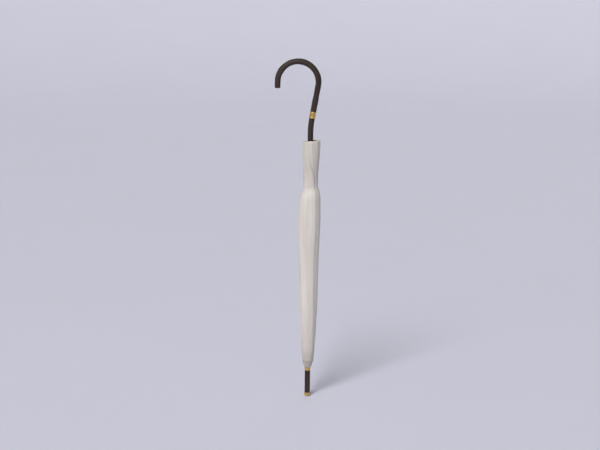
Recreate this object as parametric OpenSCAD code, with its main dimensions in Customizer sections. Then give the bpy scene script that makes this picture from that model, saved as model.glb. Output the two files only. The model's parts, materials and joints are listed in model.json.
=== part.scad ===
// Stick umbrella with a crook handle, furled, standing on its ferrule.
// Millimetres. +Z runs from the ferrule to the handle, the stick's axis is X = Y = 0, the crook lies in the XZ plane.

/* [Stick and handle] */
// Overall height, floor to the top of the crook
total_h = 898; // [890:1:920]
// Radius of the wooden stick
stick_r = 7.2; // [6.9:0.05:7.25]
// Radius of the crook's wood
handle_r = 7.5; // [7.3:0.05:7.6]
// Radius of the crook's arc, measured on its centreline
crook_r = 52.2; // [48:0.2:56]
// How far the handle leans away from the stick's axis, in degrees
lean = 10; // [8:0.2:12]
// Length of the straight end below the crook's arc
crook_leg = 14.5; // [6:0.5:30]
// Length of the brass collar over the handle joint
collar_h = 16.5; // [14:0.5:17]

/* [Ferrule] */
// Height of the brass cap at the floor
ferrule_h = 10.2; // [9:0.1:12]
// Radius of the brass cap
ferrule_r = 7.9; // [7.8:0.1:8.6]
// Height of the brass ring's underside, where the canopy ends
apex_ring_z = 72; // [70:0.5:73]
// Height of that ring
apex_ring_h = 9.5; // [8:0.5:9.5]

/* [Frame] */
// Number of ribs
rib_count = 8; // [8]
// Distance from the rib's hinge to the stretcher's joint, which is also the stretcher's length
arm = 255; // [250:1:256]
// How far the frame opens from its furled rest, in degrees
open_angle = 72; // [60:1:78]
// Width of a rib's channel
rib_w = 3.0; // [2.6:0.1:3.2]
// Height of a rib's channel
rib_h = 2.2; // [2:0.1:2.3]
// Width of a stretcher
stretcher_w = 2.2; // [1.8:0.1:2.3]

/* [Canopy] */
// Thickness of the furled cloth
cloth_t = 1.0; // [0.8:0.1:1]
// Width of the tie strap
strap_w = 20; // [14:1:24]

/* [Hidden] */
RIBS = [1 : rib_count];
$fn = 64;
eps = 0.02; // gap between pressed parts of one body
wood = "#4a3d37";
brass = "#c39a3f";
steel = "#8e9196";
cloth = "#d8d1c6";

rib_pitch = 360 / rib_count;
function rib_az(i) = rib_pitch * (i - 0.5);

// Hinge line: the wires that the ribs and stretchers turn on
hinge_z = 102;                // height of the notch's wire
hinge_r = stick_r + 2.7;      // distance of both wires from the axis
splay = 0.35;                 // the shut rib's angle from the stick, in degrees
joint_r = hinge_r + arm * sin(splay);
joint_z = hinge_z + arm * cos(splay);
runner_z = hinge_z + 2 * arm * cos(splay);
open_runner_z = hinge_z + 2 * arm * cos(splay + open_angle);
wire_r = 0.5;
eye_r = 1.5;                  // rounded end of a rib or stretcher
eye_hole_r = 0.75;
tab_t = 1.2;                  // thickness of a rib's hinge tab
slot_w = 1.8;                 // slot that the tab turns in
bar_start = 5.5;              // the full section starts this far from a hinge
rib_off = 1.7;                // from the hinge line out to the rib's inner face
rib_len = 560;                // hinge to the end of the channel
rib_wall = 0.55;
crown_r = stick_r + 4.7;      // outer radius of the notch and of the runner's crown
crown_half = 3;
tab_floor_r = stick_r + 0.9;  // bottom of the hinge slots

// Handle geometry
swell = 0.04;       // a bent length is this much thicker than the straight ones
crook_z = total_h - handle_r - swell - crook_r;
crook_x = -33.2;    // centre of the arc
leg_x = crook_x + crook_r * cos(lean);  // where the arc meets the leaning leg
leg_z = crook_z - crook_r * sin(lean);
leg_len = leg_x / sin(lean);            // from there back to the stick's axis
bend_z = leg_z - leg_len * cos(lean);
bend_r = 220;
bend_cut = bend_r * tan(lean / 2);
joint_s = 35;       // where handle and stick meet, measured up the leg from the bend
tenon_r = 4.2;
tenon_len = 30;

// Springs
spring_az = -90;    // side of the stick that the two catches stand out of
spring_len = 34;
spring_w = 2;
catch_r = stick_r + 1.8;      // how far the catch stands out
keyway_w = 3.2;
keyway_r = catch_r + 0.25;
hand_spring_z = runner_z + 22;
top_spring_z = open_runner_z + 95;   // this one hangs from its pin, the other stands on it

// Furled canopy, radius and height
canopy = [
    [16.5, 107], [17.0, 113], [17.4, 126], [18.4, 148], [20.3, 175], [22.0, 220], [23.6, 257], [24.2, 300],
    [25.5, 350], [26.5, 400], [28.2, 440], [28.8, 480], [28.2, 515], [27.1, 540], [24.8, 550], [21.2, 559],
    [19.0, 567], [18.7, 585], [18.9, 605], [20.3, 622], [21.5, 650], [22.2, 668], [22.4, 692]
];
apex = [[stick_r + 1.2, 81.5], [9.3, 86], [11.3, 92], [14.0, 97.6]];
gore_gap = 0.9;    // degrees left free at each side of a furled gore
strap_az = rib_az(3);   // the strap is sewn to this gore, its socket to the next one
socket_az = strap_az + 33.5;
strap_root_z = 532;
strap_t = 1.2;
snap_r = 5.5;

module at_rib(i) rotate([0, 0, rib_az(i)]) children();

// Frame of a shut rib: +Z along the rib, +X outward, origin on the notch's wire
module on_rib(i) at_rib(i) translate([hinge_r, 0, hinge_z]) rotate([0, splay, 0]) children();

// Frame of a shut stretcher: +Z along it, origin on the rib's rivet
module on_stretcher(i) at_rib(i) translate([joint_r, 0, joint_z]) rotate([0, -splay, 0]) children();

// Frame of the leaning leg: +Z up the leg, origin where it leaves the stick's axis
module on_leg() translate([0, 0, bend_z]) rotate([0, lean, 0]) children();

// Frame of the catches: +X out of the stick
module on_catch(z) rotate([0, 0, spring_az]) translate([0, 0, z]) children();

module in_plane(t) rotate([90, 0, 0]) linear_extrude(t, center = true) children();

module tube(r_out, r_in, h) difference() {
    cylinder(r = r_out, h = h);
    translate([0, 0, -1]) cylinder(r = r_in, h = h + 2);
}

// A shell of revolution that follows profile, from lift inside it to lift + t inside it
module shell(profile, lift, t, angle = 360) rotate_extrude(angle = angle, $fn = 128) polygon(concat(
    [for (p = profile) [p[0] - lift, p[1]]],
    [for (k = [len(profile) - 1 : -1 : 0]) [profile[k][0] - lift - t, profile[k][1]]]
));

// ---- stick and handle ----

module on_top_catch() on_catch(top_spring_z) mirror([0, 0, 1]) children();

module on_hand_catch() on_catch(hand_spring_z) children();

module catch_slot() {
    translate([0, -1.3, -2]) cube([stick_r + 1, 2.6, spring_len + 6]);
    translate([3.2, 0, 0]) rotate([90, 0, 0]) cylinder(r = 0.8 + eps, h = 20, center = true, $fn = 32);
}

module stick() color(wood) difference() {
    union() {
        translate([0, 0, 4]) cylinder(r = stick_r, h = bend_z - bend_cut - 3);
        translate([bend_r, 0, bend_z - bend_cut]) rotate([90, 0, 180])
            rotate_extrude(angle = lean, $fn = 96) translate([bend_r, 0]) circle(stick_r + swell);
        on_leg() translate([0, 0, bend_cut - 1]) cylinder(r = stick_r, h = joint_s - bend_cut + 1);
        on_leg() translate([0, 0, joint_s - 1]) cylinder(r = tenon_r, h = tenon_len + 1);
    }
    on_top_catch() catch_slot();
    on_hand_catch() catch_slot();
    translate([0, 0, hinge_z - 6]) rotate([0, 90, 0]) cylinder(r = 0.9 + eps, h = 30, center = true, $fn = 32);
    translate([0, 0, open_runner_z - crown_half - 2]) rotate([0, 90, 0])
        cylinder(r = 1 + eps, h = 30, center = true, $fn = 32);
}

module crook_handle() color(wood) difference() {
    union() {
        on_leg() translate([0, 0, joint_s + eps]) cylinder(r = handle_r, h = leg_len - joint_s + 1);
        translate([crook_x, 0, crook_z]) rotate([90, 0, 0]) rotate([0, 0, -lean])
            rotate_extrude(angle = 180 + lean, $fn = 128) translate([crook_r, 0]) circle(handle_r + swell);
        translate([crook_x - crook_r, 0, crook_z - crook_leg]) cylinder(r = handle_r, h = crook_leg + 1);
        translate([crook_x - crook_r, 0, crook_z - crook_leg - 1.4])
            cylinder(r1 = handle_r - 1.2, r2 = handle_r, h = 1.4);
    }
    on_leg() translate([0, 0, joint_s - 1]) cylinder(r = tenon_r + eps, h = tenon_len + 2);
}

module handle_collar() color(brass) on_leg() translate([0, 0, joint_s - collar_h + 2]) difference() {
    rotate_extrude() polygon([
        [stick_r + eps, 0], [handle_r + 0.4, 0], [handle_r + 0.65, 0.6], [handle_r + 0.65, 1.8], [handle_r + 0.4, 2.4],
        [handle_r + 0.4, collar_h - 2.4], [handle_r + 0.65, collar_h - 1.8], [handle_r + 0.65, collar_h - 0.6],
        [handle_r + 0.4, collar_h], [stick_r + eps, collar_h]
    ]);
    translate([0, 0, collar_h - 2]) cylinder(r = handle_r + eps, h = 3);
}

module ferrule_cap() color(brass) difference() {
    rotate_extrude() polygon([
        [0, 0], [ferrule_r - 2, 0], [ferrule_r - 0.6, 0.7], [ferrule_r, 2.2], [ferrule_r, ferrule_h - 1.6],
        [ferrule_r - 0.2, ferrule_h - 0.6], [stick_r + 0.3, ferrule_h], [0, ferrule_h]
    ]);
    translate([0, 0, 4 - eps]) cylinder(r = stick_r + eps, h = ferrule_h);
}

module apex_ring() color(brass) translate([0, 0, apex_ring_z]) difference() {
    rotate_extrude() polygon([
        [0, 0], [stick_r + 0.5, 0], [stick_r + 0.8, 0.8], [stick_r + 0.8, 2.4], [stick_r + 0.5, 3.2],
        [stick_r + 0.8, 4], [stick_r + 0.8, apex_ring_h - 0.8], [stick_r + 0.5, apex_ring_h], [0, apex_ring_h]
    ]);
    translate([0, 0, -1]) cylinder(r = stick_r + eps, h = apex_ring_h + 2);
}

module apex_cap() color(cloth) shell(apex, 0.2, 0.8);

// ---- hinge rings ----

// The ring that ribs or stretchers hang in: a slot for each, and a groove for the wire
module hinge_ring(z) translate([0, 0, z]) difference() {
    translate([0, 0, -crown_half]) cylinder(r = crown_r, h = 2 * crown_half);
    for (i = RIBS) at_rib(i) translate([tab_floor_r, -slot_w / 2, -crown_half - 1])
        cube([crown_r, slot_w, 2 * crown_half + 2]);
    rotate_extrude($fn = 96) translate([hinge_r, 0]) circle(wire_r + 0.05, $fn = 24);
}

module hinge_wire(z) color(steel) translate([0, 0, z]) rotate_extrude($fn = 96)
    translate([hinge_r, 0]) circle(wire_r, $fn = 24);

module notch() color(brass) difference() {
    union() {
        hinge_ring(hinge_z);
        translate([0, 0, hinge_z - 9]) cylinder(r = stick_r + 1.9, h = 9 - crown_half + 0.5);
    }
    translate([0, 0, hinge_z - 20]) cylinder(r = stick_r + eps, h = 40);
    translate([0, 0, hinge_z - 6]) rotate([0, 90, 0]) cylinder(r = 0.9 + eps, h = 30, center = true, $fn = 32);
}

module notch_wire() hinge_wire(hinge_z);

module notch_pin() color(steel) translate([0, 0, hinge_z - 6]) rotate([0, 90, 0])
    cylinder(r = 0.9, h = 2 * stick_r + 3.6, center = true, $fn = 32);

// Halts the runner when the frame is open
module stop_pin() color(steel) translate([0, 0, open_runner_z - crown_half - 2]) rotate([0, 90, 0])
    cylinder(r = 1, h = 2 * stick_r + 3, center = true, $fn = 32);

module spring_pins() color(steel) for (z = [top_spring_z, hand_spring_z])
    on_catch(z) translate([3.2, 0, 0]) rotate([90, 0, 0]) cylinder(r = 0.8, h = 10.4, center = true, $fn = 32);

// A leaf spring let into the stick: an eye on its pin, a thin blade, and the catch that the thumb presses
module catch_spring() color(steel) in_plane(spring_w) difference() {
    union() {
        translate([3.2, 0]) circle(1.8);
        polygon([
            [2.9, 0], [4.9, 0], [5.8, 12], [6.0, spring_len - 10], [catch_r, spring_len - 2.5], [catch_r, spring_len],
            [5.2, spring_len], [5.2, spring_len - 10], [4.9, 12]
        ]);
    }
    translate([3.2, 0]) circle(0.85, $fn = 32);
}

module top_spring() on_top_catch() catch_spring();

module hand_spring() on_hand_catch() catch_spring();

// ---- runner ----

runner_bore = stick_r + 0.08;
tube_r = stick_r + 1.2;
tube_lip_r = tube_r + 1.3;
tube_len = 56;

module keyway(z, h) on_catch(z) translate([0, -keyway_w / 2, 0]) cube([keyway_r, keyway_w, h]);

module runner_crown() color("#3b3430") difference() {
    union() {
        hinge_ring(runner_z);
        translate([0, 0, runner_z + crown_half - 0.5]) cylinder(r = hinge_r, h = 10.5);
    }
    translate([0, 0, runner_z - 20]) cylinder(r = runner_bore, h = 60);
    translate([0, 0, runner_z + crown_half]) cylinder(r = tube_r + eps, h = 20);
    keyway(runner_z - 5, 30);
}

module runner_tube() color(brass) translate([0, 0, runner_z + crown_half + eps]) difference() {
    union() {
        cylinder(r = tube_r, h = tube_len);
        translate([0, 0, tube_len - 4]) cylinder(r1 = tube_r, r2 = tube_lip_r, h = 2);
        translate([0, 0, tube_len - 2]) cylinder(r = tube_lip_r, h = 2);
    }
    translate([0, 0, -1]) cylinder(r = runner_bore, h = tube_len + 2);
    keyway(-5, tube_len + 10);
}

module runner_wire() hinge_wire(runner_z);

// ---- ribs and stretchers ----

module rib(i) color(steel) on_rib(i) {
    in_plane(tab_t) difference() {
        union() {
            circle(eye_r);
            polygon([
                [-eye_r, 0], [eye_r, 0], [rib_off + rib_h - 0.2, bar_start], [rib_off + rib_h - 0.2, bar_start + 9],
                [rib_off + 0.4, bar_start + 9]
            ]);
        }
        circle(eye_hole_r, $fn = 32);
    }
    translate([rib_off, 0, bar_start]) linear_extrude(rib_len - bar_start) difference() {
        translate([0, -rib_w / 2]) square([rib_h, rib_w]);
        translate([-1, -rib_w / 2 + rib_wall]) square([1 + rib_h - rib_wall, rib_w - 2 * rib_wall]);
    }
}

ear_gap = stretcher_w + 0.4;
clip_w = 4.4;

// The clip crimped round a rib, with two ears and the rivet that the stretcher turns on
module rib_joint(i) color(steel) on_rib(i) translate([0, 0, arm]) {
    difference() {
        translate([-1.5, -clip_w / 2, -4]) cube([rib_off + rib_h + 2.1, clip_w, 8]);
        translate([rib_off - eps, -rib_w / 2 - eps, -5]) cube([rib_h + 2 * eps, rib_w + 2 * eps, 10]);
        translate([-3, -ear_gap / 2, -5]) cube([3 + rib_off + 0.2, ear_gap, 10]);
    }
    rotate([90, 0, 0]) cylinder(r = 0.7, h = clip_w + 0.2, center = true, $fn = 32);
    for (side = [-1, 1]) translate([0, side * (clip_w / 2 + 0.3), 0]) rotate([90, 0, 0])
        cylinder(r = 1.2, h = 0.5, center = true, $fn = 32);
}

tip_bend = 10;

// The cap on a rib's end: a socket, then a prong turned out to the hem
module rib_tip(i) color(brass) on_rib(i) translate([rib_off + rib_h / 2, 0, rib_len - 10]) difference() {
    union() {
        cylinder(r = 2.3, h = 12, $fn = 32);
        translate([0, 0, 12]) sphere(2.3, $fn = 32);
        translate([0, 0, 12]) rotate([0, tip_bend, 0]) {
            cylinder(r1 = 2.2, r2 = 1.1, h = 12, $fn = 32);
            translate([0, 0, 12.6]) sphere(1.5, $fn = 32);
        }
    }
    translate([-rib_h / 2 - eps, -rib_w / 2 - eps, -1]) cube([rib_h + 2 * eps, rib_w + 2 * eps, 11 + eps]);
}

module stretcher(i) color(steel) on_stretcher(i) {
    in_plane(stretcher_w) difference() {
        union() {
            circle(eye_r);
            translate([-0.9, 0]) square([1.8, arm - bar_start]);
        }
        circle(0.8, $fn = 32);
    }
    in_plane(tab_t) difference() {
        union() {
            translate([0, arm]) circle(eye_r);
            translate([-0.9, arm - bar_start - 3]) square([1.8, bar_start + 3]);
        }
        translate([0, arm]) circle(eye_hole_r, $fn = 32);
    }
}

// ---- canopy ----

module gore(i) color(cloth) rotate([0, 0, rib_az(i) - rib_pitch / 2 + gore_gap])
    shell(canopy, 0.3, cloth_t, rib_pitch - 2 * gore_gap);

strap_line = [
    [28.9, strap_root_z], [29.1, 515], [29.3, 480], [28.8, 440], [27.1, 400], [26.2, 350], [25.9, 332]
];
snap_z = 346;

// A flat band: it bridges the bundle's curve, so that the gores can turn under it
module strap() color(cloth) rotate([0, 0, strap_az]) in_plane(strap_w) polygon(concat(
    strap_line,
    [for (k = [len(strap_line) - 1 : -1 : 0]) [strap_line[k][0] + strap_t, strap_line[k][1]]]
));

module strap_snap() color(brass) rotate([0, 0, strap_az]) translate([26.3 + strap_t, 0, snap_z])
    rotate([0, 90, 0]) cylinder(r1 = snap_r, r2 = snap_r - 1.2, h = 1.8);

module snap_socket() color(brass) rotate([0, 0, socket_az]) translate([28.5, 0, 515])
    rotate([0, 90, 0]) cylinder(r1 = snap_r, r2 = snap_r - 0.8, h = 1.6);

stick();
crook_handle();
handle_collar();
ferrule_cap();
apex_ring();
apex_cap();
notch();
notch_wire();
notch_pin();
stop_pin();
spring_pins();
top_spring();
hand_spring();
runner_crown();
runner_tube();
runner_wire();
strap();
strap_snap();
snap_socket();
for (i = RIBS) {
    rib(i);
    rib_joint(i);
    rib_tip(i);
    stretcher(i);
    gore(i);
}
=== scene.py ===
import json
import math

import bmesh
import bpy
import numpy as np
from mathutils import Matrix, Vector


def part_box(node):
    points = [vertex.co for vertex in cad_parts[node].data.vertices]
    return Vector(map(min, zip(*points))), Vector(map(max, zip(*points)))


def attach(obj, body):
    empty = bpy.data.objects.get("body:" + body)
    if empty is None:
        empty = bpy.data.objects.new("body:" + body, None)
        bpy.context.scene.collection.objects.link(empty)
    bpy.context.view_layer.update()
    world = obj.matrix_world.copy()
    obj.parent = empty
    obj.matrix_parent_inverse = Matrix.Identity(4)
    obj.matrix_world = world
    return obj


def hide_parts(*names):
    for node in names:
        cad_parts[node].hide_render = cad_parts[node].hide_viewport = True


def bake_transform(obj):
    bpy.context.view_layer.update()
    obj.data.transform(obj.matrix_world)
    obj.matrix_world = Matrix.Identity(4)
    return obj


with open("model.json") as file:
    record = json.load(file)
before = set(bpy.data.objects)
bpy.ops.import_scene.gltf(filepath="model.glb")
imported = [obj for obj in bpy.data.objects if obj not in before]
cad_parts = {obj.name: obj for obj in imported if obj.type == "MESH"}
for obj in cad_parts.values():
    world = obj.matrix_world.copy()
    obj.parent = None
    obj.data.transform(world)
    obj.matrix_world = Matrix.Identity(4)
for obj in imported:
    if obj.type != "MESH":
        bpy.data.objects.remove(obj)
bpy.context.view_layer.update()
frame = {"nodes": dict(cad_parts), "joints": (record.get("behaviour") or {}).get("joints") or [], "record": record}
nodes = frame["nodes"]
mm = 0.001


# camera, floor and light
studio = {
    "lens": 69.6,
    "distance": 3.03,
    "elevation": 11.0,
    "aim": (-0.0243, 0.0, 0.4667),
    "roll": 0.64,
    "floorRadius": 9.0,
    "rimRadius": 24.0,  # past the flat floor its rim curves up, so no horizon shows
    "rimHeight": 7.0,
    "rimRings": 12,
    "floorColour": (0.64, 0.64, 0.745),
    "air": (0.86, 0.87, 0.94),
    "airStrength": 0.25,
    "skyTint": (1.0, 0.985, 0.96),
    "clipEnd": 900,
}


def addCamera():
    camera = bpy.data.objects.new("camera", bpy.data.cameras.new("camera"))
    bpy.context.scene.collection.objects.link(camera)
    aim = Vector(studio["aim"])
    rise = math.radians(studio["elevation"])
    camera.location = aim + studio["distance"] * Vector((0, -math.cos(rise), math.sin(rise)))
    look = (aim - camera.location).to_track_quat("-Z", "Y").to_matrix()
    roll = Matrix.Rotation(math.radians(studio["roll"]), 3, "Z")
    camera.rotation_euler = (look @ roll).to_euler()
    camera.data.lens = studio["lens"]
    camera.data.clip_end = studio["clipEnd"]
    bpy.context.scene.camera = camera


def addLamp(name, place, target, size, power, colour):
    lamp = bpy.data.objects.new(name, bpy.data.lights.new(name, "AREA"))
    bpy.context.scene.collection.objects.link(lamp)
    lamp.location = place
    lamp.rotation_euler = (Vector(target) - Vector(place)).to_track_quat("-Z", "Y").to_euler()
    lamp.data.shape = "DISK"
    lamp.data.size, lamp.data.energy, lamp.data.color = size, power, colour


def addSky(name, towards, power, spread):
    sky = bpy.data.objects.new(name, bpy.data.lights.new(name, "SUN"))
    bpy.context.scene.collection.objects.link(sky)
    sky.rotation_euler = Vector(towards).to_track_quat("-Z", "Y").to_euler()
    sky.data.energy, sky.data.angle, sky.data.color = power, math.radians(spread), studio["skyTint"]


def addStudio():
    addCamera()
    addSky("skyLamp", (0.30, 0.64, -0.71), 2.5, 24)
    addSky("backSkyLamp", (-0.2, -0.75, -0.5), 0.32, 50)
    addLamp("keyLamp", (-2.0, -3.0, 2.9), (0, 0, 0.45), 1.8, 16, (1.0, 0.98, 0.95))
    world = bpy.data.worlds.new("studioAir")
    world.use_nodes = True
    world.node_tree.nodes["Background"].inputs[0].default_value = (*studio["air"], 1)
    world.node_tree.nodes["Background"].inputs[1].default_value = studio["airStrength"]
    bpy.context.scene.world = world
    bpy.context.scene.view_settings.view_transform = "Standard"
    shape = bmesh.new()
    bmesh.ops.create_circle(shape, cap_ends=True, segments=96, radius=studio["floorRadius"])
    rim = [e for e in shape.edges if e.is_boundary]
    rings = studio["rimRings"]
    for k in range(1, rings + 1):
        out = studio["floorRadius"] + (studio["rimRadius"] - studio["floorRadius"]) * k / rings
        made = bmesh.ops.extrude_edge_only(shape, edges=rim)["geom"]
        rim = [g for g in made if isinstance(g, bmesh.types.BMEdge)]
        for vertex in (g for g in made if isinstance(g, bmesh.types.BMVert)):
            vertex.co.xy = vertex.co.xy.normalized() * out
            vertex.co.z = studio["rimHeight"] * (k / rings) ** 2
    bmesh.ops.recalc_face_normals(shape, faces=shape.faces)
    floor = finishMesh("floor", shape)
    floor.data.materials.append(floorMaterial())


# shader helpers
class Wire:
    def __init__(self, finish, socket):
        self.finish, self.socket = finish, socket

    def maths(self, operation, first, second=0.0):
        return self.finish.add("ShaderNodeMath", {"operation": operation}, {0: first, 1: second})

    def __add__(self, other):
        return self.maths("ADD", self, other)

    def __sub__(self, other):
        return self.maths("SUBTRACT", self, other)

    def __rsub__(self, other):
        return self.maths("SUBTRACT", other, self)

    def __mul__(self, other):
        return self.maths("MULTIPLY", self, other)

    __radd__, __rmul__ = __add__, __mul__

    def sine(self):
        return self.maths("SINE", self)

    def size(self):
        return self.maths("ABSOLUTE", self)

    def step(self, low, high):
        return self.finish.add(
            "ShaderNodeMapRange",
            {"interpolation_type": "SMOOTHSTEP"},
            {0: self, 1: low, 2: high, 3: 0.0, 4: 1.0},
        )


class Finish:
    def __init__(self, name):
        self.material = bpy.data.materials.new(name)
        self.material.use_nodes = True
        self.tree = self.material.node_tree
        self.shader = self.tree.nodes["Principled BSDF"]

    def add(self, kind, settings=None, inputs=None, out=0):
        node = self.tree.nodes.new(kind)
        for key, value in (settings or {}).items():
            setattr(node, key, value)
        self.feed(node, inputs or {})
        return Wire(self, node.outputs[out])

    def feed(self, node, inputs):
        for key, value in inputs.items():
            if isinstance(value, Wire):
                self.tree.links.new(value.socket, node.inputs[key])
            else:
                node.inputs[key].default_value = value

    def mix(self, share, first, second):
        first, second = ((*c, 1) if isinstance(c, tuple) else c for c in (first, second))
        return self.add("ShaderNodeMix", {"data_type": "RGBA"}, {0: share, 6: first, 7: second}, 2)

    def place(self, scale=(1, 1, 1), attribute=None):
        if attribute:
            where = self.add("ShaderNodeAttribute", {"attribute_name": attribute}, out="Vector")
        else:
            where = self.add("ShaderNodeTexCoord", out="Object")
        return self.add("ShaderNodeVectorMath", {"operation": "MULTIPLY"}, {0: where, 1: scale})

    def noise(self, where, scale, detail=3.0, rough=0.5):
        inputs = {"Vector": where, "Scale": scale, "Detail": detail, "Roughness": rough}
        return self.add("ShaderNodeTexNoise", {}, inputs)

    def bump(self, height, distance, strength=1.0, under=None):
        inputs = {"Height": height, "Distance": distance, "Strength": strength}
        if under:
            inputs["Normal"] = under
        return self.add("ShaderNodeBump", {}, inputs)

    def surface(self, **sockets):
        self.feed(self.shader, {key.replace("_", " "): value for key, value in sockets.items()})
        return self.material


def finishMesh(name, shape, angle=None):
    mesh = bpy.data.meshes.new(name)
    shape.to_mesh(mesh)
    shape.free()
    mesh.shade_smooth()
    if angle:
        mesh.set_sharp_from_angle(angle=math.radians(angle))
    piece = bpy.data.objects.new(name, mesh)
    bpy.context.scene.collection.objects.link(piece)
    return piece


def turnProfile(shape, corners, steps):
    # spins a chain of new vertices round the upright axis
    edges = [shape.edges.new(pair) for pair in zip(corners, corners[1:])]
    bmesh.ops.spin(
        shape,
        geom=corners + edges,
        cent=(0, 0, 0),
        axis=(0, 0, 1),
        angle=2 * math.pi,
        steps=steps,
        use_merge=True,
    )
    bmesh.ops.remove_doubles(shape, verts=shape.verts, dist=1e-7)


# finishes
def floorMaterial():
    finish = Finish("palePaintedFloor")
    cloud = finish.noise(finish.place(), 1.3, 2.0)
    tone = finish.mix(cloud, tuple(c * 0.97 for c in studio["floorColour"]), studio["floorColour"])
    return finish.surface(Base_Color=tone, Roughness=0.82)


canopyFinish = {
    "light": (0.67, 0.632, 0.575),
    "shade": (0.60, 0.560, 0.505),
    # a darker tone: for the seam and hem stitch lines and the darkening towards the bottom end, and as painted
    # shade on the upper sleeve
    "darkerToneAndPaintedShade": (0.47, 0.435, 0.385),
    # painted shade colour for the downward-facing, gathered bottom end
    "paintedGatherShade": (0.20, 0.185, 0.17),
    "threadPitch": 0.7 * mm,
    # two heights between which a tone fades in or out, and its share
    # darker towards the bottom end
    "lowFade": (0.08, 0.24, 0.45),
    # painted shade at the gathered bottom end
    "bottomPaintedShade": (0.085, 0.150, 0.3),
    # painted shade: the upper sleeve above the shoulder is darkened, standing in for the light that the up-facing
    # shoulder catches and the sleeve does not
    "sleevePaintedShade": (0.55, 0.60, 0.4),
    "hemLine": 0.987,  # share of the panel's height
}


def clothMaterial(name, seams):
    finish = Finish(name)
    here = finish.place()
    slub = finish.noise(finish.place((1, 1, 0.25)), 260, 4.0, 0.6)
    drift = finish.noise(finish.place((1, 1, 0.16)), 42, 3.0)
    split = {axis: finish.add("ShaderNodeSeparateXYZ", {}, {0: here}, axis) for axis in "XYZ"}
    turn = 2 * math.pi / canopyFinish["threadPitch"]
    around = (split["X"] * turn).sine() * (split["Y"] * turn).sine()
    along = (split["Z"] * turn).sine()
    weave = around * 0.5 + along * 0.5
    tone = finish.mix(drift.step(0.3, 0.7), canopyFinish["shade"], canopyFinish["light"])
    tone = finish.mix((slub.step(0.45, 0.75)) * 0.25, tone, canopyFinish["shade"])
    # darker towards the bottom end of the canopy
    start, end, most = canopyFinish["lowFade"]
    tone = finish.mix((1 - split["Z"].step(start, end)) * most, tone, canopyFinish["darkerToneAndPaintedShade"])
    # painted shade: the gathered bottom end is darkened towards the ring
    start, end, most = canopyFinish["bottomPaintedShade"]
    tone = finish.mix((1 - split["Z"].step(start, end)) * most, tone, canopyFinish["paintedGatherShade"])
    # painted shade darkening the upper sleeve above the shoulder
    start, end, most = canopyFinish["sleevePaintedShade"]
    tone = finish.mix(split["Z"].step(start, end) * most, tone, canopyFinish["darkerToneAndPaintedShade"])
    height = weave * 0.35 + slub
    if seams:
        spot = finish.add("ShaderNodeUVMap", {"uv_map": "cloth"})
        u, v = (finish.add("ShaderNodeSeparateXYZ", {}, {0: spot}, axis) for axis in (0, 1))
        middle = (u - 0.5).size()
        side = middle.step(0.484, 0.487) - middle.step(0.490, 0.493)
        hem = 1 - (v - canopyFinish["hemLine"]).size().step(0.0005, 0.0014)
        stitch = (v * 1400).sine().step(-0.2, 0.5)
        line = side * stitch + hem * (u * 150).sine().step(-0.3, 0.3)
        tone = finish.mix(line * 0.35, tone, canopyFinish["darkerToneAndPaintedShade"])
        height = height - line * 0.8
    grain = finish.bump(height, 0.00012, 0.55)
    soft = finish.bump(drift, 0.0012, 0.35, grain)
    return finish.surface(
        Base_Color=tone,
        Roughness=0.42 + slub * 0.18,
        Normal=soft,
        Sheen_Weight=0.25,
        Sheen_Roughness=0.4,
    )


woodFinish = {
    "stick": {"dark": (0.019, 0.0115, 0.0085), "light": (0.052, 0.034, 0.026)},
    "handle": {"dark": (0.023, 0.0150, 0.0115), "light": (0.060, 0.042, 0.033)},
    "grainPitch": 520,
}


def woodMaterial(name, kind, attribute=None):
    finish = Finish(name)
    tones = woodFinish[kind]
    fibres = finish.noise(finish.place((1, 1, 0.035), attribute), woodFinish["grainPitch"], 5.0, 0.62)
    bands = finish.noise(finish.place((1, 1, 0.10), attribute), 95, 3.0)
    pores = finish.noise(finish.place((1, 1, 0.08), attribute), 1500, 2.0)
    wear = finish.noise(finish.place((1, 1, 0.6), attribute), 60, 4.0).step(0.58, 0.72)
    share = (fibres * 0.6 + bands * 0.5).step(0.35, 0.75)
    tone = finish.mix(share, tones["dark"], tones["light"])
    tone = finish.mix(pores.step(0.55, 0.7) * 0.55, tone, tuple(c * 0.45 for c in tones["dark"]))
    tone = finish.mix(wear * 0.18, tone, tuple(c * 1.7 for c in tones["light"]))
    rough = 0.46 + fibres * 0.16 - wear * 0.08
    normal = finish.bump(fibres - pores.step(0.55, 0.7) * 0.6, 0.00018, 0.55)
    return finish.surface(Base_Color=tone, Roughness=rough, Normal=normal, Specular_IOR_Level=0.22)


def brassMaterial(name, colour):
    finish = Finish(name)
    stain = finish.noise(finish.place(), 190, 4.0, 0.6)
    lines = finish.noise(finish.place((1, 1, 9)), 260, 2.0)
    tone = finish.mix(stain.step(0.45, 0.75), colour, tuple(c * 0.66 for c in colour))
    return finish.surface(
        Base_Color=tone,
        Metallic=1.0 - stain.step(0.6, 0.85) * 0.25,
        Roughness=0.32 + stain * 0.14 + lines * 0.08,
        Normal=finish.bump(lines + stain, 0.00006, 0.4),
    )


def steelMaterial(name):
    finish = Finish(name)
    lines = finish.noise(finish.place((1, 1, 0.04)), 2400, 2.0)
    spots = finish.noise(finish.place(), 340, 3.0)
    tone = finish.mix(spots.step(0.4, 0.8), (0.46, 0.46, 0.47), (0.30, 0.30, 0.31))
    normal = finish.bump(lines, 0.00005, 0.5)
    return finish.surface(Base_Color=tone, Metallic=1.0, Roughness=0.28 + spots * 0.18, Normal=normal)


def plasticMaterial(name, colour):
    finish = Finish(name)
    grain = finish.noise(finish.place(), 1700, 2.0)
    scuffs = finish.noise(finish.place((1, 1, 0.2)), 210, 4.0).step(0.55, 0.75)
    tone = finish.mix(scuffs * 0.5, colour, tuple(c * 1.8 for c in colour))
    normal = finish.bump(grain, 0.00008, 0.5)
    return finish.surface(Base_Color=tone, Roughness=0.42 + scuffs * 0.2, Normal=normal)


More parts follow.
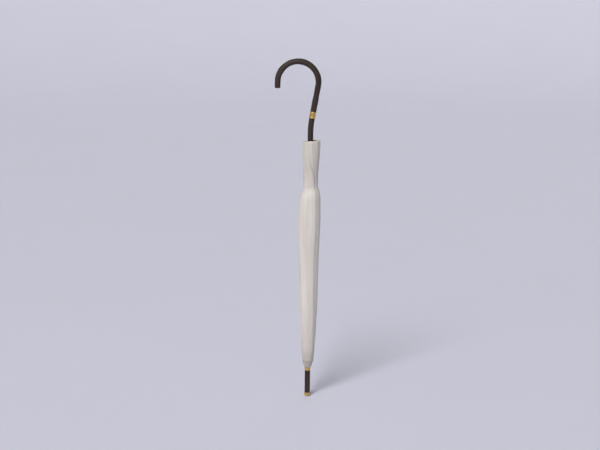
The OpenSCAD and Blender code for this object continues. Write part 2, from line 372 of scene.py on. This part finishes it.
cloth = clothMaterial("ivorySatin", True)
plainCloth = clothMaterial("ivorySatinTrim", False)
brass = brassMaterial("polishedBrass", (0.66, 0.465, 0.16))
steel = steelMaterial("drawnSteel")
addStudio()
print("studio, floor and finishes made")


# canopy
panel = {
    "across": 52,
    "up": 176,
    "overlap": 5.0,  # degrees that a panel's crease laps over the next panel
    "flat": 0.5,  # 0 is a round bundle, 1 is flat between the creases
    "clothThickness": 0.5 * mm,
    "hemSlope": 1.2 * mm,
    "hemDip": 0.9 * mm,
    "hemBack": 4.5 * mm,  # how much lower the hem is at the back
    "hemCorner": 2.5 * mm,
    "hemStart": 0.74,  # share of the panel's height at which the hem's shape sets in
    "shoulderLean": 4 * mm,
    "openAngle": 72.0,
    "turn": 45.0,
    # across a panel: place in the grid, share of the cloth's width, share of the strip,
    # and depth below the surface
    "section": [
        (0.00, 0.00, 0.00, 1.0),
        (0.10, 0.07, 0.00, 1.0),
        (0.16, 0.12, 0.06, 1.0),
        (0.24, 0.17, 0.13, 0.0),
        (0.74, 0.80, 1.00, 0.0),
        (0.79, 0.84, 1.02, 0.35),
        (0.83, 0.87, 0.98, 0.9),
        (1.00, 1.00, 0.80, 1.0),
    ],
    "foldDepth": 1.3 * mm,
    "wrapFold": 1.9 * mm,  # depth of the slanting folds in the gathered end
    "tuck": 6.0,  # degrees past its own rib at which the folded-back edge ends
    "seamRise": 1.2 * mm,  # how far the seam stands off its rib
    "lapRise": 2.4 * mm,  # and the folded-back edge
}


def profileOf(node):
    # outer radius at each height of a turned CAD node
    found = {}
    for vertex in nodes[node].data.vertices:
        x, y, z = vertex.co
        key = round(z, 4)
        found[key] = max(found.get(key, 0), math.hypot(x, y))
    return sorted(found.items())


def smoothCurve(points, at):
    zs = np.array([p[0] for p in points])
    rs = np.array([p[1] for p in points])
    slopes = np.gradient(rs, zs)
    k = int(np.clip(np.searchsorted(zs, at) - 1, 0, len(zs) - 2))
    span = zs[k + 1] - zs[k]
    t = min(max((at - zs[k]) / span, -1), 1)
    if t < 0:
        return rs[0] + slopes[0] * (at - zs[0])
    return (
        (2 * t**3 - 3 * t**2 + 1) * rs[k]
        + (t**3 - 2 * t**2 + t) * span * slopes[k]
        + (3 * t**2 - 2 * t**3) * rs[k + 1]
        + (t**3 - t**2) * span * slopes[k + 1]
    )


def ease(value, low, high):
    t = min(max((value - low) / (high - low), 0), 1)
    return t * t * (3 - 2 * t)


# how the folds run up the bundle; heights are in mm, angles in degrees
furl = {
    "lead": 5,  # from a rib to its panel's first fold
    "sway": (3, 95),
    "fineSway": (2, 41, 2.3),
    "fineSwayFrom": (140, 260),
    "sweeps": [(-30, 585, 700), (-5, 545, 585)],
    # mm that the bundle lies to one side of the stick
    "aside": 0.5,
    "drifts": [(-1.3, 230, 380), (0.9, 430, 520), (1.5, 535, 560), (0.9, 625, 690)],
    # depth, waves across, shift per panel, height per radian, where it fades in and out
    "ripples": [
        (0.4 * mm, 6, 1.7, 60, (500, 552), (588, 668)),
        (0.35 * mm, 7, 0.8, 130, (130, 240), None),
        (0.6 * mm, 5, 2.1, math.inf, (600, 680), None),
    ],
    "wrapAt": 57,
    "wrapEvery": 120,
    "wrapTurn": 65,
    "wrapBetween": (582, 680),
    "wrapFrom": (560, 600),
    "wrapShape": (0.2, 0.93, 0.95, 0.3),  # rises slowly, then drops at the fold
}


# the panels start inside the gathered cap's rim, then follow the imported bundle
panelStart, startRadius = profileOf("apex_cap")[-1]
gores = profileOf("gore_1")
bundle = [(panelStart, startRadius + 0.7 * mm), (0.112, 0.0155)] + [p for p in gores if p[0] > 0.12]
panelTop = gores[-1][0]
hinge = {j["name"]: j for j in frame["joints"]}
ribCount = sum(1 for name in nodes if name.startswith("gore_"))
step = 360 / ribCount
ribHinge = Vector(hinge["canopy_open"]["pos_m"])
hingeRadius, hingeHeight = ribHinge.xy.length, ribHinge.z


def ribAngle(i):
    return step * (i - 0.5)


def ribTop(z):
    # outer radius of the rib, and of its tip, at a height
    reach = max(v.co.xy.length for v in nodes["rib_1"].data.vertices)
    start = hingeRadius + 3.9 * mm
    height = max(v.co.z for v in nodes["rib_1"].data.vertices)
    along = min(max((z - hingeHeight) / (height - hingeHeight), 0), 1)
    return start + (reach - start) * along + 1.4 * mm * ease(z, height - 14 * mm, height - 8 * mm)


def foldAngle(i, z):
    # where panel i starts round the bundle: near its rib, swept back towards the hem
    h = z / mm
    size, pitch = furl["sway"]
    fine, finePitch, phase = furl["fineSway"]
    lean = furl["lead"] + size * math.sin(h / pitch + i)
    lean += fine * math.sin(h / finePitch + phase * i) * ease(h, *furl["fineSwayFrom"])
    return ribAngle(i) + lean + sum(turn * ease(h, low, high) for turn, low, high in furl["sweeps"])


def drift(h):
    # the furled bundle isn't quite centred on the stick
    return (furl["aside"] + sum(way * ease(h, low, high) for way, low, high in furl["drifts"])) * mm


def ripple(i, along, h):
    # soft folds that die out at the panel's creases
    visible = math.sin(math.pi * min(max(along, 0), 1))
    total = 0
    for depth, waves, shift, pitch, fadeIn, fadeOut in furl["ripples"]:
        strength = ease(h, *fadeIn) * (1 - ease(h, *fadeOut) if fadeOut else 1)
        total += depth * strength * math.sin(along * waves + shift * i + h / pitch) * visible
    return total


def wrapRise(theta, h):
    # loose wraps run slantwise round the gathered end
    turned = theta + furl["wrapAt"] + furl["wrapTurn"] * ease(h, *furl["wrapBetween"])
    place = (turned % furl["wrapEvery"]) / furl["wrapEvery"]
    rise, full, drop, base = furl["wrapShape"]
    height = ease(place, rise, full) - ease(place, drop, 1.0) - base
    return panel["wrapFold"] * ease(h, *furl["wrapFrom"]) * height


def hemShift(side, front, along, v):
    # the hem rises to one side, falls to the back, and dips a little between the creases
    shift = panel["hemSlope"] * (side - 2.3)
    shift -= panel["hemBack"] * max(-front, 0) ** 2
    shift -= panel["hemCorner"] * max(-side, 0) ** 4
    shift -= panel["hemDip"] * (1 - (2 * along - 1) ** 2)
    return shift * ease(v, panel["hemStart"], 1.0)


def clothPoint(i, place, v):
    columns = list(zip(*panel["section"]))
    u, along, deep = (float(np.interp(place, columns[0], columns[k])) for k in (1, 2, 3))
    z = panelStart + v * (panelTop - panelStart)
    h = z / mm
    start = foldAngle(i, z)
    end = foldAngle(i % ribCount + 1, z)
    while end < start:
        end += 360
    theta = start + along * (end - start) + panel["overlap"] * ease(along, 0.5, 1.0)
    side, front = math.cos(math.radians(theta)), -math.sin(math.radians(theta))
    z += hemShift(side, front, along, v)
    # the shoulder sits higher and sharper on the side that the hem rises to
    shoulder = ease(h, 500, 535) * (1 - ease(h, 562, 610))
    radius = smoothCurve(bundle, min(z - panel["shoulderLean"] * side * shoulder, panelTop))
    mid = math.radians(step / 2) * (2 * min(max(along, 0), 1) - 1)
    flat = panel["flat"] * (0.3 + 0.7 * ease(h, 110, 300)) * (1 - 0.35 * ease(h, 520, 600))
    radius *= 1.006 + flat * (1 / math.cos(mid) - 1)
    radius += ripple(i, along, h) + wrapRise(theta, h)
    radius += 0.2 * mm * ease(along, 0.8, 1.0)
    radius -= panel["foldDepth"] * deep * min(1, 0.4 + 0.6 * ease(h, 98, 130))
    theta, radius, shift = toSeam(i, place, theta, radius, z, drift(h))
    angle = math.radians(theta)
    return Vector((radius * math.cos(angle) + shift, radius * math.sin(angle), z)), u


def toSeam(i, place, theta, radius, z, shift):
    # both long edges run down under the outer layer: the first to the seam on its rib, and the
    # last one folded back under its own panel, so that it lands on the next rib when open
    first, last = panel["section"][1][0], panel["section"][-2][0]
    inward = max(1 - place / first, (place - last) / (1 - last), 0)
    if not inward:
        return theta, radius, shift
    tuck, rise = (0.6, panel["seamRise"]) if place < 0.5 else (panel["tuck"], panel["lapRise"])
    seam = min((ribTop(z) + rise) / math.cos(math.radians(tuck)), radius - 0.6 * mm)
    swing = ribAngle(i) + tuck - theta
    swing = (swing + 180) % 360 - 180
    return theta + swing * inward, radius + (seam - radius) * inward, shift * (1 - inward)


def share(i, u, co):
    # how much of the panel's turn a point takes, so that open cloth spans from rib to rib
    a = math.radians(ribAngle(i))
    out = co.x * math.cos(a) + co.y * math.sin(a) - hingeRadius
    side = -co.x * math.sin(a) + co.y * math.cos(a)
    opened = math.radians(panel["openAngle"])
    reach = hingeRadius + out * math.cos(opened) + (co.z - hingeHeight) * math.sin(opened)
    at = math.degrees(math.atan2(side, max(reach, 4 * mm)))
    return min(max((u * panel["turn"] - at) / panel["turn"], -0.5), 1.2)


def makePanel(i):
    shape = bmesh.new()
    bmesh.ops.create_grid(shape, x_segments=panel["across"], y_segments=panel["up"], size=0.5)
    uv = shape.loops.layers.uv.new("cloth")
    spread = shape.verts.layers.float.new("spread")
    columns = list(zip(*panel["section"]))
    for face in shape.faces:
        for loop in face.loops:
            place, v = loop.vert.co.x + 0.5, loop.vert.co.y + 0.5
            loop[uv].uv = (float(np.interp(place, columns[0], columns[1])), v)
    for vertex in shape.verts:
        vertex.co, u = clothPoint(i, vertex.co.x + 0.5, vertex.co.y + 0.5)
        vertex[spread] = share(i, u, vertex.co)
    bmesh.ops.recalc_face_normals(shape, faces=shape.faces)
    middle = math.radians(ribAngle(i) + 24)
    out = Vector((math.cos(middle), math.sin(middle), 0))

    def standsOut(face):
        centre = face.calc_center_median()
        return centre.dot(out) - abs(centre.z - 0.4)

    if max(shape.faces, key=standsOut).normal.dot(out) < 0:
        bmesh.ops.reverse_faces(shape, faces=shape.faces)
    piece = finishMesh(f"canopy_panel_{i}", shape)
    weights = np.zeros(len(piece.data.vertices), np.float32)
    piece.data.attributes["spread"].data.foreach_get("value", weights)
    piece.data.materials.append(cloth)
    wall = piece.modifiers.new("wall", "SOLIDIFY")
    wall.thickness, wall.offset = panel["clothThickness"], -1
    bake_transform(piece)
    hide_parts(f"gore_{i}")


for number in range(1, ribCount + 1):
    makePanel(number)
print("canopy panels cut and furled")


# gathered cap under the ring
rosette = {
    "pleats": 24,
    "depth": 0.45 * mm,
    "thickness": 0.6 * mm,
    "around": 192,
    "rings": 22,
    "fullness": 0.8 * mm,
}


def makeRosette():
    points = profileOf("apex_cap")
    low, top = points[0][0], points[-1][0]
    shape = bmesh.new()
    rings = rosette["rings"]
    corners = []
    for k in range(rings + 1):
        z = low + (top - low) * k / rings
        full = rosette["fullness"] * math.sin(math.pi * k / rings)
        corners.append(shape.verts.new((smoothCurve(points, z) + full, 0, z)))
    turnProfile(shape, corners, rosette["around"])
    for vertex in shape.verts:
        angle = math.atan2(vertex.co.y, vertex.co.x)
        up = ease(vertex.co.z, low, top)
        wave = math.sin(angle * rosette["pleats"] + 3 * math.sin(angle * 2)) * (1 - 0.6 * up)
        grow = 1 + (wave * rosette["depth"] - 0.1 * mm) / vertex.co.xy.length
        vertex.co.x, vertex.co.y = vertex.co.x * grow, vertex.co.y * grow
    bmesh.ops.recalc_face_normals(shape, faces=shape.faces)
    piece = finishMesh("gathered_cap", shape)
    piece.data.materials.append(plainCloth)
    wall = piece.modifiers.new("wall", "SOLIDIFY")
    wall.thickness, wall.offset = rosette["thickness"], -1
    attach(piece, "stick")
    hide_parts("apex_cap")


makeRosette()
print("gathered cap sewn")


# crook
crook = {
    "around": 40,
    "stepsArc": 96,
    "stepsLeg": 40,  # rings along the straight leg
    "stepsTail": 10,
    "stepsRound": 4,
    "waviness": 0.16 * mm,
    "endRound": 2.2 * mm,
}


def crookFacts():
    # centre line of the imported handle, from its box, its hook mount and the collar round its leg
    low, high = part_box("crook_handle")
    radius = high.y
    mounts = {m["name"]: m for m in frame["record"]["mounts"]}
    centreX = mounts["crook_hook"]["pos_m"][0]
    arc = centreX - (low.x + radius)
    centreZ = high.z - radius - arc
    collar = sum(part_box("handle_collar"), Vector()) / 2
    away = Vector((centreX - collar.x, 0, centreZ - collar.z))
    lean = math.atan2(away.x, away.z) + math.asin(arc / away.length)
    return low, radius, arc, centreX, centreZ, lean


def makeCrook():
    low, radius, arc, centreX, centreZ, lean = crookFacts()
    shape = bmesh.new()
    grain = shape.verts.layers.float_vector.new("grain")
    along = shape.verts.layers.float.new("along")
    legX = centreX + arc * math.cos(lean)
    legZ = centreZ - arc * math.sin(lean)
    startLength = (legZ - low.z - radius * math.sin(lean)) / math.cos(lean)
    up = Vector((math.sin(lean), 0, math.cos(lean)))
    start = Vector((legX, 0, legZ)) - up * startLength
    rim = bmesh.ops.create_circle(shape, cap_ends=True, radius=radius, segments=crook["around"])
    ring = list(rim["verts"])
    bmesh.ops.rotate(shape, verts=ring, cent=(0, 0, 0), matrix=Matrix.Rotation(lean, 3, "Y"))
    bmesh.ops.translate(shape, verts=ring, vec=start)
    for vertex in ring:
        vertex[along] = 0

    def edgesOf(verts):
        inside = set(verts)
        return [e for e in shape.edges if e.verts[0] in inside and e.verts[1] in inside]

    def push(verts, offset, steps, length, begun):
        for k in range(steps):
            made = bmesh.ops.extrude_edge_only(shape, edges=edgesOf(verts))
            verts = [g for g in made["geom"] if isinstance(g, bmesh.types.BMVert)]
            bmesh.ops.translate(shape, verts=verts, vec=offset / steps)
            for vertex in verts:
                vertex[along] = begun + length * (k + 1) / steps
        return verts

    ring = push(ring, up * startLength, crook["stepsLeg"], startLength, 0)
    sweep = math.pi + lean
    for k in range(crook["stepsArc"]):
        made = bmesh.ops.extrude_edge_only(shape, edges=edgesOf(ring))
        ring = [g for g in made["geom"] if isinstance(g, bmesh.types.BMVert)]
        bmesh.ops.rotate(
            shape,
            verts=ring,
            cent=(centreX, 0, centreZ),
            matrix=Matrix.Rotation(-sweep / crook["stepsArc"], 3, "Y"),
        )
        for vertex in ring:
            vertex[along] = startLength + arc * sweep * (k + 1) / crook["stepsArc"]
    tail = hookTail(low, centreZ)
    ring = push(ring, Vector((0, 0, -tail)), crook["stepsTail"], tail, startLength + arc * sweep)
    lid = bmesh.ops.contextual_create(shape, geom=edgesOf(ring))["faces"]
    reached = startLength + arc * sweep + tail
    part = math.pi / 2 / crook["stepsRound"]
    for k in range(crook["stepsRound"]):
        angle = (k + 1) * part
        inward = crook["endRound"] * (math.cos(angle - part) - math.cos(angle))
        down = crook["endRound"] * (math.sin(angle) - math.sin(angle - part))
        bmesh.ops.inset_individual(shape, faces=lid, thickness=inward)
        for vertex in lid[0].verts:
            vertex[along] = reached + crook["endRound"] * math.sin(angle)
        bmesh.ops.translate(shape, verts=lid[0].verts, vec=(0, 0, -down))
    bmesh.ops.poke(shape, faces=lid)
    for vertex in shape.verts:
        s = vertex[along]
        centre, across = crookCentre(s, start, up, startLength, centreX, centreZ, arc, sweep)
        offset = vertex.co - centre
        side, out = offset.y, offset.dot(across)
        wobble = math.sin(s * 95) + 0.7 * math.sin(s * 210 + 1.3)
        wobble += 0.5 * math.sin(s * 61 + math.atan2(side, out) * 2)
        if offset.length > 1e-5:
            vertex.co += offset.normalized() * wobble * crook["waviness"] * ease(s, 0, 0.02)
        vertex[grain] = Vector((side, out, s))
    bmesh.ops.recalc_face_normals(shape, faces=shape.faces)
    piece = finishMesh("crook", shape, angle=50)
    piece.data.materials.append(woodMaterial("stainedHandleWood", "handle", "grain"))
    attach(piece, "stick")
    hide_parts("crook_handle")


def hookTail(low, centreZ):
    # length of the straight end below the arc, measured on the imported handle's free leg
    free = [v.co.z for v in nodes["crook_handle"].data.vertices if v.co.x < low.x + 0.02]
    return centreZ - min(free) - crook["endRound"]


def crookCentre(s, start, up, startLength, centreX, centreZ, arc, sweep):
    if s <= startLength:
        return start + up * s, Vector((up.z, 0, -up.x))
    turned = (s - startLength) / arc
    if turned <= sweep:
        angle = turned - (sweep - math.pi)
        out = Vector((math.cos(angle), 0, math.sin(angle)))
        return Vector((centreX, 0, centreZ)) + out * arc, out
    below = (turned - sweep) * arc
    return Vector((centreX - arc, 0, centreZ - below)), Vector((-1, 0, 0))


makeCrook()
print("crook bent")


# strap and snap
strap = {
    "rows": 90,
    "columns": 12,
    "halfWidth": 10 * mm,
    "tipShare": 0.06,  # share of the length over which the loose end rounds off
    "thickness": 1.1 * mm,
    "hemRise": 0.25 * mm,
    "stitchLength": 2.1 * mm,
    "stitchGap": 1.3 * mm,
    "stitchWidth": 0.42 * mm,
    "inset": 2.0 * mm,
}
strapTurn = math.radians(ribAngle(3))


def strapPath():
    # the CAD band's outer face along its middle line
    found = {}
    for vertex in nodes["strap"].data.vertices:
        local = Matrix.Rotation(-strapTurn, 3, "Z") @ vertex.co
        key = round(local.z, 4)
        found[key] = max(found.get(key, 0), local.x)
    return sorted(found.items())


strapLine = strapPath()
strapLow, strapTop = strapLine[0][0], strapLine[-1][0]


def strapPoint(across, up, lift=0.0):
    z = strapLow + up * (strapTop - strapLow)
    radius = smoothCurve(strapLine, z) - strap["thickness"] + lift
    width = strap["halfWidth"]
    if up < strap["tipShare"]:
        end = ease(up, 0.0, strap["tipShare"])
        width *= 0.55 + 0.45 * math.sqrt(max(0.0, 1 - (1 - end) ** 2))
    angle = across * width / radius
    point = Vector((radius * math.cos(angle), radius * math.sin(angle), z))
    return Matrix.Rotation(strapTurn, 3, "Z") @ point


def makeStrap():
    shape = bmesh.new()
    bmesh.ops.create_grid(shape, x_segments=strap["columns"], y_segments=strap["rows"], size=1)
    for vertex in shape.verts:
        across, up = vertex.co.x, (vertex.co.y + 1) / 2
        edge = strap["hemRise"] * ease(abs(across), 0.7, 0.85)
        vertex.co = strapPoint(across, up, edge + 0.12 * mm * math.sin(up * 23))
    bmesh.ops.recalc_face_normals(shape, faces=shape.faces)
    out = Matrix.Rotation(strapTurn, 3, "Z") @ Vector((1, 0, 0))
    if next(iter(shape.faces)).normal.dot(out) < 0:
        bmesh.ops.reverse_faces(shape, faces=shape.faces)
    piece = finishMesh("tie_strap", shape)
    piece.data.materials.append(plainCloth)
    wall = piece.modifiers.new("wall", "SOLIDIFY")
    wall.thickness, wall.offset = strap["thickness"] * 0.85, 1
    rounding = piece.modifiers.new("softEdge", "BEVEL")
    rounding.width, rounding.segments = 0.3 * mm, 2
    rounding.limit_method, rounding.angle_limit = "ANGLE", math.radians(50)
    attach(piece, "strap")
    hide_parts("strap")
    return piece


def makeStitches():
    shape = bmesh.new()
    length = strapTop - strapLow
    pitch = strap["stitchLength"] + strap["stitchGap"]
    rows = []
    for k in range(int((length - 10 * mm) / pitch)):
        up = (6 * mm + k * pitch) / length
        rows += [(side * (1 - strap["inset"] / strap["halfWidth"]), up, 0) for side in (-1, 1)]
    rows += [(-0.7 + 0.28 * k, up, 1) for k in range(6) for up in (0.985, 0.93)]
    top = strap["thickness"] + strap["hemRise"] * 0.8
    for across, up, turned in rows:
        here = strapPoint(across, up, top)
        ahead = strapPoint(across + (0.1 if turned else 0), up + (0 if turned else 0.01), top)
        made = bmesh.ops.create_icosphere(shape, subdivisions=1, radius=0.5)["verts"]
        size = (strap["stitchLength"], strap["stitchWidth"], strap["stitchWidth"])
        bmesh.ops.scale(shape, verts=made, vec=size)
        turn = (ahead - here).to_track_quat("X", "Z").to_matrix()
        bmesh.ops.rotate(shape, verts=made, cent=(0, 0, 0), matrix=turn)
        bmesh.ops.translate(shape, verts=made, vec=here)
    piece = finishMesh("strap_stitches", shape)
    thread = Finish("ivoryThread")
    twist = thread.noise(thread.place(), 2600, 2.0)
    tone = thread.mix(twist, (0.62, 0.57, 0.50), (0.80, 0.75, 0.67))
    normal = thread.bump(twist, 0.0001)
    piece.data.materials.append(thread.surface(Base_Color=tone, Roughness=0.6, Normal=normal))
    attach(piece, "strap")
    return piece


snapOutline = [  # radius and height of a snap's face, as shares of its radius and depth
    (0.0, 0.72),
    (0.28, 0.72),
    (0.42, 0.60),
    (0.52, 0.42),
    (0.66, 0.40),
    (0.74, 0.62),
    (0.84, 0.94),
    (0.93, 1.0),
    (1.0, 0.82),
    (1.0, 0.0),
    (0.0, 0.0),
]


def makeSnap(name, node, body):
    low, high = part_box(node)
    centre = (low + high) / 2
    turn = math.atan2(centre.y, centre.x)
    size = (high.z - low.z) / 2
    local = [Matrix.Rotation(-turn, 3, "Z") @ v.co for v in nodes[node].data.vertices]
    base, face = min(p.x for p in local), max(p.x for p in local)
    shape = bmesh.new()
    corners = [shape.verts.new((r * size, 0, base + h * (face - base))) for r, h in snapOutline]
    turnProfile(shape, corners, 48)
    verts = list(shape.verts)
    bmesh.ops.rotate(shape, verts=verts, cent=(0, 0, 0), matrix=Matrix.Rotation(math.pi / 2, 3, "Y"))
    bmesh.ops.translate(shape, verts=verts, vec=(0, 0, centre.z))
    bmesh.ops.rotate(shape, verts=verts, cent=(0, 0, 0), matrix=Matrix.Rotation(turn, 3, "Z"))
    bmesh.ops.recalc_face_normals(shape, faces=shape.faces)
    piece = finishMesh(name, shape, angle=40)
    piece.data.materials.append(brass)
    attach(piece, body)
    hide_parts(node)
    return piece


strapPiece = makeStrap()
stitches = makeStitches()
snapStud = makeSnap("snap_stud_face", "strap_snap", "strap")
makeSnap("snap_socket_face", "snap_socket", "gore_4")
print("strap and snap sewn on")


# finishes of the carried-over metal and wood
def paint(name, material):
    mesh = nodes[name].data
    mesh.materials.clear()
    mesh.materials.append(material)


paint("stick", woodMaterial("stainedStickWood", "stick"))
for name in ("handle_collar", "ferrule_cap", "apex_ring"):
    paint(name, brass)
agedBrass = brassMaterial("agedBrass", (0.50, 0.36, 0.14))
for name in ("notch", "runner_tube"):
    paint(name, agedBrass)
paint("runner_crown", plasticMaterial("darkCrownPlastic", (0.030, 0.024, 0.020)))
wires = ("notch_wire", "runner_wire", "notch_pin", "stop_pin", "spring_pins")
for name in (*wires, "top_spring", "hand_spring"):
    paint(name, steel)
for number in range(1, ribCount + 1):
    for kind in ("rib", "rib_joint", "stretcher"):
        paint(f"{kind}_{number}", steel)
    paint(f"rib_tip_{number}", agedBrass)
print("frame painted")
